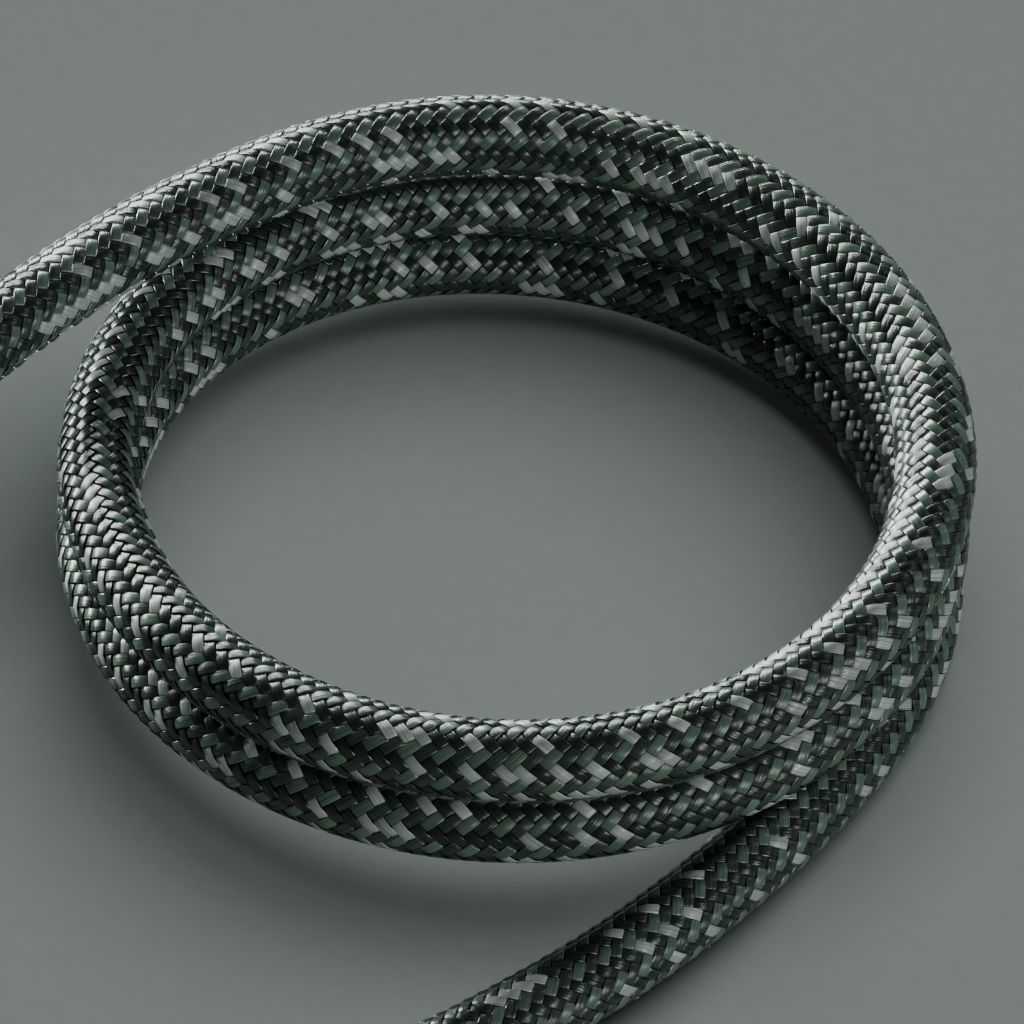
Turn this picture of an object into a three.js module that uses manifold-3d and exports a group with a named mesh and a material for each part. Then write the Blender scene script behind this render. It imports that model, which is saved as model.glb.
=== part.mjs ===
// Braided charging cable with a USB-C plug at each end, millimetres, +Z up.
// One open coil stands on the surface, the rest is wound in a flat coil held by a strap.
import * as THREE from "three";
import { mergeVertices } from "three/addons/utils/BufferGeometryUtils.js";
import Module from "manifold-3d";

const wasm = await Module();
wasm.setup();

// Cord
const cordDiameter = 4.5;
const jacketDiameter = 3.4;
const tubeSides = 10;

// Open coil: angles are measured from the back, turning towards the right
const coilRadius = 22.9;
const coilPitch = 4.7;
const coilStart = -30;
const coilEnd = 836;

// Lower run to the first plug: steps from where the cord leaves the open coil
const lowerHeading = 213.6;
const lowerSteps = [
  [0, 0, 0],
  [-2.3, -4.4, 0.05],
  [-5, -8.7, 0.2],
  [-7.9, -12.7, 0.35],
  [-11, -16.6, 0.55],
  [-14.4, -20.3, 0.7],
  [-18.1, -23.7, 0.82],
  [-22, -26.9, 0.85],
  [-26, -29.8, 0.85],
];

// Upper run over to the wound coil: steps from where the cord joins the open coil
const upperHeading = 234.4;
const upperSteps = [
  [0, 0, 0],
  [-4.6, -2.9, -0.06],
  [-8.9, -6.2, -0.2],
  [-12.9, -9.9, -0.43],
  [-16.6, -13.9, -0.68],
  [-20, -18.1, -0.92],
  [-23.2, -22.6, -1.14],
  [-26.4, -27, -1.29],
  [-29.5, -31.4, -1.35],
];

// Last run to the second plug: steps from where the cord leaves the wound coil
const exitSteps = [
  [0, 0, 0],
  [-4.5, -2.7, 0.15],
  [-9.1, -5.3, 0.42],
  [-13.6, -8, 0.7],
  [-18.1, -10.6, 0.85],
];

// Wound coil: three turns, two side by side with one on top
const woundRadius = 24.75;
const woundTurns = 3;
const woundExit = 24;

// Strap round the wound coil
const strapWidth = 12;
const strapThick = 1.1;
const strapAngle = 0;
const flapLength = 5;

// Plug body: its shoulder stands out beside and above the shell
const shoulderSide = 1.675;
const shoulderHigh = 1.9;
const plugLength = 19;
const sleeveWall = 0.7;
const capThick = 1.2;
const bootLength = 14.3;
const bootWall = 0.4;
const bootStep = 0.15;
const neckWall = 0.3;

// Plug front
const shellWidth = 8.25;
const shellHeight = 2.4;
const shellReach = 6.65;
const shellInside = 5;
const shellWall = 0.3;
const waferThick = 0.3;
const waferReach = 5.9;
const contactThick = 0.12;
const contactWide = 0.28;
const contactPitch = 0.5;
const contactCount = 12;
const plateThick = 0.16;
const coreWall = 0.4;
const latchThick = 0.15;
const latchTall = 0.5;
const latchLength = 5.2;
const latchRoom = 0.5;
const latchHook = 0.22;

// Board and screen
const boardMargin = 0.7;
const boardLength = 7.2;
const boardThick = 0.6;
const chipSize = 2;
const chipTall = 0.55;
const screenGap = 0.4;
const screenSheet = 0.25;
const screenFlat = 0.3;
const wireDiameter = 0.8;
const wireBunch = 0.75;
const wireFan = 1.9;
const solderLength = 1.4;
const ferruleLength = 2;
const ferruleWall = 0.3;

// Clearances
const clearance = 0.3;
const fit = 0.06;

// Sizes that follow from the ones above
const cordRadius = cordDiameter / 2;
const plugWidth = shellWidth + 2 * shoulderSide;
const plugHeight = shellHeight + 2 * shoulderHigh;
const axisHeight = plugHeight / 2;
const innerWidth = plugWidth - 2 * sleeveWall;
const innerHeight = plugHeight - 2 * sleeveWall;
const bootRear = cordDiameter + 2 * bootWall;
const bootFront = plugHeight - 2 * bootStep;
const neckDiameter = jacketDiameter + 2 * neckWall;
const screenWidth = innerWidth - 2 * screenGap;
const screenHeight = innerHeight - 2 * screenGap;
const screenCorner = (screenHeight - screenFlat) / 2;
const boardWidth = screenWidth - 2 * boardMargin;
const radians = THREE.MathUtils.degToRad;
const turnOf = (degrees) => degrees / 360;
const coilTop = cordRadius + coilPitch * turnOf(coilEnd);
const ringHeight = coilTop + coilPitch * turnOf(-coilStart) + cordRadius + clearance;
const woundWidth = 2 * cordDiameter;
const woundHeight = 1.96 * cordDiameter;
const shellBack = -shellInside;
const boardFront = shellBack - clearance;
const boardBack = boardFront - boardLength;
const capBack = -plugLength + capThick;
const bootEnd = -plugLength - bootLength;
const ferruleEnd = boardBack - 1.6;
const jacketFront = ferruleEnd + 0.5;

function toSolid(source) {
  const geometry = source.clone();
  geometry.deleteAttribute("normal");
  geometry.deleteAttribute("uv");
  const merged = mergeVertices(geometry, 1e-4);
  return new wasm.Manifold(
    new wasm.Mesh({
      numProp: 3,
      vertProperties: merged.attributes.position.array,
      triVerts: new Uint32Array(merged.index.array),
    }),
  );
}

function toGeometry(solid) {
  const mesh = solid.getMesh();
  const geometry = new THREE.BufferGeometry();
  const positions = new Float32Array(mesh.vertProperties);
  geometry.setAttribute("position", new THREE.BufferAttribute(positions, 3));
  geometry.setIndex(new THREE.BufferAttribute(new Uint32Array(mesh.triVerts), 1));
  return geometry;
}

function roundedShape(width, height, corner) {
  const shape = new THREE.Shape();
  const x = width / 2;
  const y = height / 2;
  const r = Math.min(corner, x - 0.001, y - 0.001);
  shape.moveTo(-x + r, -y);
  shape.lineTo(x - r, -y);
  shape.absarc(x - r, -y + r, r, -Math.PI / 2, 0, false);
  shape.lineTo(x, y - r);
  shape.absarc(x - r, y - r, r, 0, Math.PI / 2, false);
  shape.lineTo(-x + r, y);
  shape.absarc(-x + r, y - r, r, Math.PI / 2, Math.PI, false);
  shape.lineTo(-x, -y + r);
  shape.absarc(-x + r, -y + r, r, Math.PI, 1.5 * Math.PI, false);
  return shape;
}

// A bar with its outline across and its length along X
const alongX = new THREE.Matrix4().makeBasis(
  new THREE.Vector3(0, 1, 0),
  new THREE.Vector3(0, 0, 1),
  new THREE.Vector3(1, 0, 0),
);

function bar(shape, from, to, segments = 5) {
  const geometry = new THREE.ExtrudeGeometry(shape, {
    depth: to - from,
    bevelEnabled: false,
    curveSegments: segments,
  });
  geometry.applyMatrix4(alongX);
  geometry.translate(from, 0, 0);
  return toSolid(geometry);
}

function roundedBar(width, height, corner, from, to, segments) {
  return bar(roundedShape(width, height, corner), from, to, segments);
}

// A block between two corners
function block(x0, x1, y0, y1, z0, z1) {
  const geometry = new THREE.BoxGeometry(x1 - x0, y1 - y0, z1 - z0);
  geometry.translate((x0 + x1) / 2, (y0 + y1) / 2, (z0 + z1) / 2);
  return toSolid(geometry);
}

// A turned piece with its axis upright, from a closed outline of radius and height pairs
function turned(outline, sides) {
  const points = outline.map(([radius, height]) => new THREE.Vector2(radius, height));
  points.push(points[0].clone());
  return toSolid(new THREE.LatheGeometry(points, sides)).rotate([90, 0, 0]);
}

// A turned piece with its axis along X, from a closed outline of length and radius pairs
function turnedAlongX(outline, sides) {
  const points = outline.map(([along, radius]) => new THREE.Vector2(radius, along));
  points.push(points[0].clone());
  return toSolid(new THREE.LatheGeometry(points, sides)).rotate([0, 0, -90]);
}

// A tube along a list of points
function tube(points, radius, sides, steps) {
  const shape = new THREE.Shape();
  for (let i = 0; i <= sides; i += 1) {
    const angle = (2 * Math.PI * i) / sides;
    const x = radius * Math.cos(angle);
    const y = radius * Math.sin(angle);
    if (i === 0) shape.moveTo(x, y);
    else if (i < sides) shape.lineTo(x, y);
  }
  const path = new THREE.CatmullRomCurve3(points, false, "centripetal");
  const geometry = new THREE.ExtrudeGeometry(shape, {
    steps,
    bevelEnabled: false,
    extrudePath: path,
  });
  return toSolid(geometry);
}

function largest(solid) {
  const bodies = solid.decompose();
  bodies.sort((a, b) => b.volume() - a.volume());
  return bodies[0];
}

// Route of the cord in plan: angles are measured from the back, turning towards the right
function around(centre, radius, angle) {
  const x = centre.x + radius * Math.sin(radians(angle));
  const y = centre.y + radius * Math.cos(radians(angle));
  return new THREE.Vector2(x, y);
}

const ease = (u) => u * u * (3 - 2 * u);
const atHeight = (place, height) => new THREE.Vector3(place.x, place.y, height);
const stepsFrom = (start, steps) =>
  steps.map(([x, y, z]) => new THREE.Vector3(start.x + x, start.y + y, start.z + z));
const coilCentre = new THREE.Vector2(0, 0);

const lowerStart = around(coilCentre, coilRadius, coilEnd);
const lowerPoints = stepsFrom(atHeight(lowerStart, cordRadius), lowerSteps);
const firstEnd = lowerPoints[lowerPoints.length - 1];

const upperStart = around(coilCentre, coilRadius, coilStart);
const upperTop = coilTop + coilPitch * turnOf(-coilStart);
const upperPoints = stepsFrom(atHeight(upperStart, upperTop), upperSteps);
const woundEntry = upperPoints[upperPoints.length - 1];
const woundStart = 360 - upperHeading;
const woundOffset = around(coilCentre, woundRadius, woundStart);
const woundCentre = new THREE.Vector2(woundEntry.x - woundOffset.x, woundEntry.y - woundOffset.y);

// Wound coil: turns passed, shift outwards and height in cord diameters
const woundTop = woundEntry.z / cordDiameter;
const layOfTurns = [
  [0, 0, woundTop],
  [0.3, 0, 2.55],
  [0.55, 0, 1.4],
  [1, 0, 1.4],
  [1.08, 0, 1.52],
  [1.3, 0, 1.52],
  [1.4, -0.36, 1.06],
  [1.5, -0.5, 0.5],
  [2.08, -0.5, 0.5],
  [2.3, 0.5, 0.5],
  [4, 0.5, 0.5],
];
const woundPoint = (turns) => {
  const next = layOfTurns.findIndex((row) => row[0] > turns);
  const [t0, r0, z0] = layOfTurns[next - 1];
  const [t1, r1, z1] = layOfTurns[next];
  const share = ease((turns - t0) / (t1 - t0));
  const radius = woundRadius + cordDiameter * (r0 + (r1 - r0) * share);
  const height = cordDiameter * (z0 + (z1 - z0) * share);
  return atHeight(around(woundCentre, radius, woundStart + 360 * turns), height);
};

// Last run: off the wound coil to the second plug
const exitTurns = woundTurns + turnOf(woundExit);
const exitPoints = stepsFrom(woundPoint(exitTurns), exitSteps);
const secondEnd = exitPoints[exitPoints.length - 1];
const secondHeading = -woundStart - 360 * exitTurns;

const group = new THREE.Group();

// Colour, roughness and metalness of each finish
const finishes = {
  braid: [0x4b5a52, 0.7, 0],
  strap: [0x1d1f20, 0.9, 0],
  sleeve: [0x6f7471, 0.35, 1],
  cap: [0x222424, 0.6, 0],
  boot: [0x1c1e1e, 0.75, 0],
  jacket: [0x303331, 0.8, 0],
  screen: [0xb9bcbb, 0.35, 1],
  steel: [0xc8cac9, 0.25, 1],
  insulator: [0x1b1b1c, 0.5, 0],
  gold: [0xd8b25a, 0.3, 1],
  board: [0x1f5a3c, 0.5, 0],
  chip: [0x161616, 0.5, 0],
  red: [0xa32222, 0.4, 0],
  black: [0x151515, 0.4, 0],
  green: [0x2f7d3f, 0.4, 0],
  white: [0xd9d9d4, 0.4, 0],
};

function add(name, solid, finish, placing) {
  const [color, roughness, metalness] = finish;
  const geometry = toGeometry(placing ? solid.transform(placing.elements) : solid);
  const material = new THREE.MeshStandardMaterial({ color, roughness, metalness });
  const mesh = new THREE.Mesh(geometry, material);
  mesh.name = name;
  group.add(mesh);
}

// Coils as closed rings
const coilRing = turned(
  [
    [coilRadius - cordRadius, 0],
    [coilRadius + cordRadius, 0],
    [coilRadius + cordRadius, ringHeight],
    [coilRadius - cordRadius, ringHeight],
  ],
  48,
);
add("coil_ring", coilRing, finishes.braid);

function woundSection(grow, floor) {
  const inner = woundRadius - woundWidth / 2 - grow;
  const outer = woundRadius + woundWidth / 2 + grow;
  const top = woundHeight + grow;
  const shoulder = 0.3 * woundHeight;
  const bevel = 0.45 * cordDiameter;
  const section = turned(
    [
      [inner, floor],
      [outer, floor],
      [outer, top - shoulder],
      [outer - bevel, top],
      [inner + bevel, top],
      [inner, top - shoulder],
    ],
    48,
  );
  return section.translate([woundCentre.x, woundCentre.y, 0]);
}

// Strap: a band round the wound coil, and a flap that peels off its outer side
const strapMiddle = around(woundCentre, woundRadius, strapAngle);
const strapZone = (grow) =>
  block(
    strapMiddle.x - strapWidth / 2 - grow,
    strapMiddle.x + strapWidth / 2 + grow,
    strapMiddle.y - woundWidth,
    strapMiddle.y + woundWidth,
    -1,
    3 * woundHeight,
  );
const strapInner = woundSection(clearance, strapThick);
const strapOuter = woundSection(clearance + strapThick, 0);
const band = strapOuter.subtract(strapInner).intersect(strapZone(0));
add("strap_band", band, finishes.strap);
const outerFace = strapMiddle.y + woundWidth / 2 + clearance + strapThick + clearance;
const flapTop = 0.62 * woundHeight;
const flap = block(
  strapMiddle.x - strapWidth / 2,
  strapMiddle.x + strapWidth / 2,
  outerFace,
  outerFace + strapThick,
  flapTop - flapLength,
  flapTop,
);
add("strap_flap", flap, finishes.strap);

const raised = block(
  strapMiddle.x - strapWidth / 2 - clearance,
  strapMiddle.x + strapWidth / 2 + clearance,
  strapMiddle.y - woundWidth,
  strapMiddle.y + woundWidth,
  -1,
  strapThick + clearance,
);
const woundRing = woundSection(0, 0).subtract(raised);
add("wound_ring", woundRing, finishes.braid);

// Cord runs that are not coiled
function shortened(points, gap) {
  const last = points[points.length - 1];
  const before = points[points.length - 2];
  const back = before.clone().sub(last).setLength(gap);
  return [...points.slice(0, -1), last.clone().add(back)];
}

const coilKeepOut = turned(
  [
    [coilRadius - cordRadius - clearance, -clearance],
    [coilRadius + cordRadius + clearance, -clearance],
    [coilRadius + cordRadius + clearance, 2 * ringHeight],
    [coilRadius - cordRadius - clearance, 2 * ringHeight],
  ],
  48,
);
const woundKeepOut = woundSection(clearance, -clearance);
const surface = block(-300, 300, -300, 300, -50, 0);

const lowerTube = tube(shortened(lowerPoints, clearance), cordRadius, tubeSides, 16);
add("cord_lower", largest(lowerTube.subtract(coilKeepOut).subtract(surface)), finishes.braid);

const restingPoints = [];
for (let i = 1; i <= 12; i += 1) restingPoints.push(woundPoint((0.45 * i) / 12));
const upperTube = tube([...upperPoints, ...restingPoints], cordRadius, tubeSides, 44);
const upperCord = largest(upperTube.subtract(coilKeepOut).subtract(woundKeepOut));
add("cord_upper", upperCord, finishes.braid);

const exitTube = tube(shortened(exitPoints, clearance), cordRadius, tubeSides, 8);
add("cord_exit", largest(exitTube.subtract(woundKeepOut).subtract(surface)), finishes.braid);

// One plug: X runs from the cord towards the tip, zero at the sleeve's front face
function addPlug(prefix, end, direction) {
  const placing = new THREE.Matrix4().makeTranslation(end.x, end.y, axisHeight);
  placing.multiply(new THREE.Matrix4().makeRotationZ(radians(direction)));
  placing.multiply(new THREE.Matrix4().makeTranslation(-bootEnd, 0, 0));
  const put = (name, solid, finish) => add(prefix + "_" + name, solid, finish, placing);

  const bore = roundedBar(innerWidth, innerHeight, innerHeight / 2, -plugLength - 1, 1);
  const outside = roundedBar(plugWidth, plugHeight, plugHeight / 2, -plugLength, 0, 8);
  put("sleeve", outside.subtract(bore), finishes.sleeve);

  const capWidth = innerWidth - 2 * fit;
  const capHeight = innerHeight - 2 * fit;
  const frontPlate = roundedBar(capWidth, capHeight, capHeight / 2, -capThick, 0);
  const shellHole = roundedBar(shellWidth + 2 * fit, shellHeight + 2 * fit, shellHeight, -9, 9);
  put("front_cap", frontPlate.subtract(shellHole), finishes.cap);

  const neckHole = turnedAlongX(
    [[-plugLength - 1, 0], [-plugLength - 1, neckDiameter / 2 + fit], [0, neckDiameter / 2 + fit], [0, 0]],
    20,
  );
  const rearPlate = roundedBar(capWidth, capHeight, capHeight / 2, -plugLength, capBack);
  put("rear_cap", rearPlate.subtract(neckHole), finishes.cap);

  const jacketBore = jacketDiameter / 2 + fit;
  const neckBack = -plugLength - 1.2;
  const boot = turnedAlongX(
    [
      [bootEnd, cordRadius + fit],
      [bootEnd, bootRear / 2],
      [-plugLength - clearance, bootFront / 2],
      [-plugLength - clearance, neckDiameter / 2],
      [capBack + 0.5, neckDiameter / 2],
      [capBack + 0.5, jacketBore],
      [neckBack, jacketBore],
      [neckBack, cordRadius + fit],
    ],
    20,
  );
  put("boot", boot, finishes.boot);

  const jacket = turnedAlongX(
    [
      [bootEnd, 0],
      [bootEnd, cordRadius],
      [neckBack - fit, cordRadius],
      [neckBack - fit, jacketDiameter / 2],
      [jacketFront, jacketDiameter / 2],
      [jacketFront, 0],
    ],
    16,
  );
  put("cord_end", jacket, finishes.jacket);

  const ferruleInner = jacketDiameter / 2 + fit;
  const ferrule = turnedAlongX(
    [
      [ferruleEnd - ferruleLength, ferruleInner],
      [ferruleEnd - ferruleLength, ferruleInner + ferruleWall],
      [ferruleEnd, ferruleInner + ferruleWall],
      [ferruleEnd, ferruleInner],
    ],
    20,
  );
  put("ferrule", ferrule, finishes.screen);

  const shellOut = roundedBar(shellWidth, shellHeight, shellHeight / 2, shellBack, shellReach, 7);
  const shellHollow = roundedBar(
    shellWidth - 2 * shellWall,
    shellHeight - 2 * shellWall,
    shellHeight / 2,
    shellBack - 1,
    shellReach + 1,
    7,
  );
  put("shell", shellOut.subtract(shellHollow), finishes.steel);

  const hollow = roundedBar(
    shellWidth - 2 * shellWall - 2 * fit,
    shellHeight - 2 * shellWall - 2 * fit,
    shellHeight / 2,
    shellBack + 0.1,
    waferReach,
    5,
  );
  const waferTop = shellHeight / 2 - shellWall - fit;
  const waferLow = waferTop - waferThick;
  put("wafer_upper", hollow.intersect(block(-20, 20, -9, 9, waferLow, 9)), finishes.insulator);
  put("wafer_lower", hollow.intersect(block(-20, 20, -9, 9, -9, -waferLow)), finishes.insulator);

  const contactTop = waferLow - fit / 2;
  const contactLow = contactTop - contactThick;
  const rowWidth = contactPitch * (contactCount - 1) + contactWide;
  let row = block(shellBack - 0.2, shellBack + 0.7, -rowWidth / 2, rowWidth / 2, contactLow, contactTop);
  for (let i = 0; i < contactCount; i += 1) {
    const y = contactPitch * (i - (contactCount - 1) / 2);
    const tip = shellBack + 9.9;
    const finger = block(shellBack - 1.9, tip, y - contactWide / 2, y + contactWide / 2, contactLow, contactTop);
    row = row.add(finger);
  }
  put("contacts_upper", row, finishes.gold);
  put("contacts_lower", row.rotate([180, 0, 0]), finishes.gold);

  const coreHalf = contactLow - fit / 2;
  const slotHalf = plateThick / 2 + fit / 2;
  const coreBack = shellBack + 0.1;
  const coreFront = shellReach - 6.2;
  const latchInner = shellWidth / 2 - shellWall - latchRoom;
  const coreSide = latchInner - latchHook;
  const slotSide = coreSide - coreWall;
  const core = block(coreBack, coreFront, -coreSide, coreSide, -coreHalf, coreHalf);
  const plateSlot = block(coreBack - 1, coreFront + 1, -slotSide, slotSide, -slotHalf, slotHalf);
  put("core", core.subtract(plateSlot), finishes.insulator);
  const plateSide = slotSide - fit;
  const plate = block(
    boardFront + 0.1,
    coreFront,
    -plateSide,
    plateSide,
    -plateThick / 2,
    plateThick / 2,
  );
  put("mid_plate", plate, finishes.steel);

  const latchRoot = coreFront - 1.2;
  const latchTip = latchRoot + latchLength;
  const arm = block(latchRoot, latchTip, latchInner, latchInner + latchThick, -latchTall / 2, latchTall / 2);
  const hook = block(
    latchTip - 0.6,
    latchTip,
    latchInner - latchHook,
    latchInner + latchThick,
    -latchTall / 2,
    latchTall / 2,
  );
  const latch = arm.add(hook);
  put("latch_left", latch, finishes.steel);
  put("latch_right", latch.rotate([180, 0, 0]), finishes.steel);

  const board = block(boardBack, boardFront, -boardWidth / 2, boardWidth / 2, -boardThick / 2, boardThick / 2);
  const pads = boardThick / 2 + fit / 2;
  put("board", board, finishes.board);
  const chipMiddle = (boardBack + boardFront) / 2;
  const chip = block(
    chipMiddle - chipSize / 2,
    chipMiddle + chipSize / 2,
    -chipSize / 2,
    chipSize / 2,
    pads,
    pads + chipTall,
  );
  put("chip", chip, finishes.chip);

  const can = roundedBar(screenWidth, screenHeight, screenCorner, boardBack - 0.6, shellBack + 1.2);
  const canHollow = roundedBar(
    screenWidth - 2 * screenSheet,
    screenHeight - 2 * screenSheet,
    screenCorner - screenSheet,
    boardBack - 2,
    0,
  );
  const canWall = can.subtract(canHollow);
  put("screen_upper", canWall.intersect(block(-30, 9, -9, 9, fit, 9)), finishes.screen);
  put("screen_lower", canWall.intersect(block(-30, 9, -9, 9, -9, -fit)), finishes.screen);

  const wireHeight = boardThick / 2 + wireDiameter / 2 + fit;
  const wires = [
    ["wire_power", 1, 1, finishes.red],
    ["wire_ground", -1, 1, finishes.black],
    ["wire_data_plus", 1, -1, finishes.green],
    ["wire_data_minus", -1, -1, finishes.white],
  ];
  for (const [name, side, level, finish] of wires) {
    const route = [
      new THREE.Vector3(jacketFront + 0.1, side * wireBunch, level * wireBunch),
      new THREE.Vector3(jacketFront + 0.5, side * wireBunch, level * wireBunch),
      new THREE.Vector3(boardBack - 0.2, side * wireFan, level * wireHeight),
      new THREE.Vector3(boardBack + solderLength, side * wireFan, level * wireHeight),
    ];
    put(name, tube(route, wireDiameter / 2, 8, 6), finish);
  }
}

addPlug("plug_a", firstEnd, lowerHeading);
addPlug("plug_b", secondEnd, secondHeading);

// Centre the whole on its own footprint
const bounds = new THREE.Box3().setFromObject(group);
const middle = bounds.getCenter(new THREE.Vector3());
group.position.set(-middle.x, -middle.y, -bounds.min.z);

export default group;
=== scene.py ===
import bpy
import math
import numpy as np
from mathutils import Matrix, Vector


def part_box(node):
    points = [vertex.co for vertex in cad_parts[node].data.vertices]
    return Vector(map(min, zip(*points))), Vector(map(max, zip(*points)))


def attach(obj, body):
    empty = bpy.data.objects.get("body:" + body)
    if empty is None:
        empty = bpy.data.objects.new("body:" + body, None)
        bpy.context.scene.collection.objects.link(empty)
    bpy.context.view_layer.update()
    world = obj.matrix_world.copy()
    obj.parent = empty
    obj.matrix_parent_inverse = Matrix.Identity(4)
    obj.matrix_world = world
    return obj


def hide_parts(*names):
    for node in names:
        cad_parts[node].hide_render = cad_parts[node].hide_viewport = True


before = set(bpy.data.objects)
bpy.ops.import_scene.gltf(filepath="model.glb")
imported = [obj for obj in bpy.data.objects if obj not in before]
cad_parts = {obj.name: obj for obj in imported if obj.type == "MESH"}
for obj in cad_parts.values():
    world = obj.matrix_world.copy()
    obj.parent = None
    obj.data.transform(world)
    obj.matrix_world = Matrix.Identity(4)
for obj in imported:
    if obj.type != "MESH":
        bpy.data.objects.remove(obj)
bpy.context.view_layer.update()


def middleOf(node):
    low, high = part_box(node)
    return [(low[i] + high[i]) / 2 for i in range(3)]


# camera
cord = {
    "diameter": 0.0045,
    "coilRadius": 0.0229,
    "coilPitch": 0.0047,
    "coilStart": -30,
    "coilEnd": 836,
    "woundRadius": 0.02475,
    "woundTurns": 3,
    "woundExit": 24,
    "lowerHeading": 213.6,
    "upperHeading": 234.4,
    "stepsPerTurn": 24,
    "lift": 0.00075,
    "liftFull": 17,
    "liftFade": 62,
}
coilMiddle = middleOf("coil_ring")


def placeCamera():
    view = {
        "elevation": 45.6, "roll": 3.7, "distance": 0.5692, "lens": 367.6, "right": -0.00036, "up": -0.0047,
    }
    level = cord["diameter"] / 2 + cord["coilPitch"] * cord["coilEnd"] / 360
    centre = Vector((coilMiddle[0], coilMiddle[1], level))
    elevation = math.radians(view["elevation"])
    roll = math.radians(view["roll"])
    back = Vector((0, -math.cos(elevation), math.sin(elevation)))
    across = Vector((1, 0, 0))
    up = back.cross(across)
    right = math.cos(roll) * across + math.sin(roll) * up
    up = -math.sin(roll) * across + math.cos(roll) * up
    data = bpy.data.cameras.new("camera")
    data.lens = view["lens"]
    data.sensor_width = 36
    data.clip_start = 0.01
    data.clip_end = 20
    camera = bpy.data.objects.new("camera", data)
    bpy.context.collection.objects.link(camera)
    camera.rotation_mode = "QUATERNION"
    camera.rotation_quaternion = Matrix((right, up, back)).transposed().to_quaternion()
    camera.location = centre + view["distance"] * back + view["right"] * right + view["up"] * up
    bpy.context.scene.camera = camera


placeCamera()
print("camera placed")


# route of the cord
lowerSteps = [
    (0, 0, 0), (-2.3, -4.4, 0.05), (-5, -8.7, 0.2), (-7.9, -12.7, 0.35), (-11, -16.6, 0.55),
    (-14.4, -20.3, 0.7), (-18.1, -23.7, 0.82), (-22, -26.9, 0.85), (-26, -29.8, 0.85),
]
upperSteps = [
    (0, 0, 0), (-4.6, -2.9, -0.06), (-8.9, -6.2, -0.2), (-12.9, -9.9, -0.43), (-16.6, -13.9, -0.68),
    (-20, -18.1, -0.92), (-23.2, -22.6, -1.14), (-26.4, -27, -1.29), (-29.5, -31.4, -1.35),
]
exitSteps = [(0, 0, 0), (-4.5, -2.7, 0.15), (-9.1, -5.3, 0.42), (-13.6, -8, 0.7), (-18.1, -10.6, 0.85)]

# turns passed, shift outwards and height, both in cord diameters
layOfTurns = [
    (0, 0, None), (0.3, 0, 2.55), (0.55, 0, 1.4), (1, 0, 1.4), (1.08, 0, 1.52), (1.3, 0, 1.52),
    (1.4, -0.36, 1.06), (1.5, -0.5, 0.5), (2.08, -0.5, 0.5), (2.3, 0.5, 0.5), (4, 0.5, 0.5),
]


def around(centre, radius, angle):
    turn = math.radians(angle)
    return centre[0] + radius * math.sin(turn), centre[1] + radius * math.cos(turn)


def stepsFrom(start, steps):
    return [tuple(start[i] + step[i] / 1000 for i in range(3)) for step in steps]


def liftAt(angle):
    # the strands ride over the strap where it passes under them
    away = abs((angle + 180) % 360 - 180)
    share = min(1, max(0, (cord["liftFade"] - away) / (cord["liftFade"] - cord["liftFull"])))
    return cord["lift"] * share * share * (3 - 2 * share)


def routePoints():
    d = cord["diameter"]
    centre = coilMiddle[:2]
    perTurn = cord["stepsPerTurn"]
    turns = (cord["coilEnd"] - cord["coilStart"]) / 360
    lowest = d / 2

    coil = []
    count = math.ceil(turns * perTurn)
    for i in range(count + 1):
        angle = cord["coilEnd"] - (cord["coilEnd"] - cord["coilStart"]) * i / count
        x, y = around(centre, cord["coilRadius"], angle)
        coil.append((x, y, lowest + cord["coilPitch"] * (cord["coilEnd"] - angle) / 360))
    lower = stepsFrom(coil[0], lowerSteps)[::-1]
    upper = stepsFrom(coil[-1], upperSteps)

    entry = upper[-1]
    startAngle = 360 - cord["upperHeading"]
    offset = around((0, 0), cord["woundRadius"], startAngle)
    woundCentre = (entry[0] - offset[0], entry[1] - offset[1])
    lay = [(t, r, entry[2] / d if z is None else z) for t, r, z in layOfTurns]
    total = cord["woundTurns"] + cord["woundExit"] / 360

    def woundPoint(turned):
        k = next(i for i, row in enumerate(lay) if row[0] > turned)
        (t0, r0, z0), (t1, r1, z1) = lay[k - 1], lay[k]
        u = (turned - t0) / (t1 - t0)
        u = u * u * (3 - 2 * u)
        angle = startAngle + 360 * turned
        x, y = around(woundCentre, cord["woundRadius"] + d * (r0 + (r1 - r0) * u), angle)
        return (x, y, d * (z0 + (z1 - z0) * u) + liftAt(angle))

    count = math.ceil(total * perTurn)
    wound = [woundPoint(total * i / count) for i in range(count + 1)]
    last = stepsFrom(wound[-1], exitSteps)
    return lower + coil[1:] + upper[1:] + wound[1:] + last[1:]


def smoothLine(points, spacing):
    # Catmull-Rom through the points, then even steps along its length
    p = np.array(points, dtype=float)
    p = np.vstack([2 * p[0] - p[1], p, 2 * p[-1] - p[-2]])
    t = np.linspace(0, 1, 12, endpoint=False)[:, None]
    dense = []
    for i in range(1, len(p) - 2):
        a, b, c, e = p[i - 1], p[i], p[i + 1], p[i + 2]
        dense.append(0.5 * (2 * b + (c - a) * t + (2 * a - 5 * b + 4 * c - e) * t ** 2
                            + (3 * b - a - 3 * c + e) * t ** 3))
    dense.append(p[-2][None])
    dense = np.vstack(dense)
    along = np.concatenate([[0], np.cumsum(np.linalg.norm(np.diff(dense, axis=0), axis=1))])
    count = int(round(along[-1] / spacing))
    even = np.linspace(0, along[-1], count + 1)
    line = np.stack([np.interp(even, along, dense[:, k]) for k in range(3)], axis=1)
    # ease out the small kinks between the runs
    for _ in range(60):
        line[1:-1] = 0.25 * line[:-2] + 0.5 * line[1:-1] + 0.25 * line[2:]
    along = np.concatenate([[0], np.cumsum(np.linalg.norm(np.diff(line, axis=0), axis=1))])
    return line, along


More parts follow.
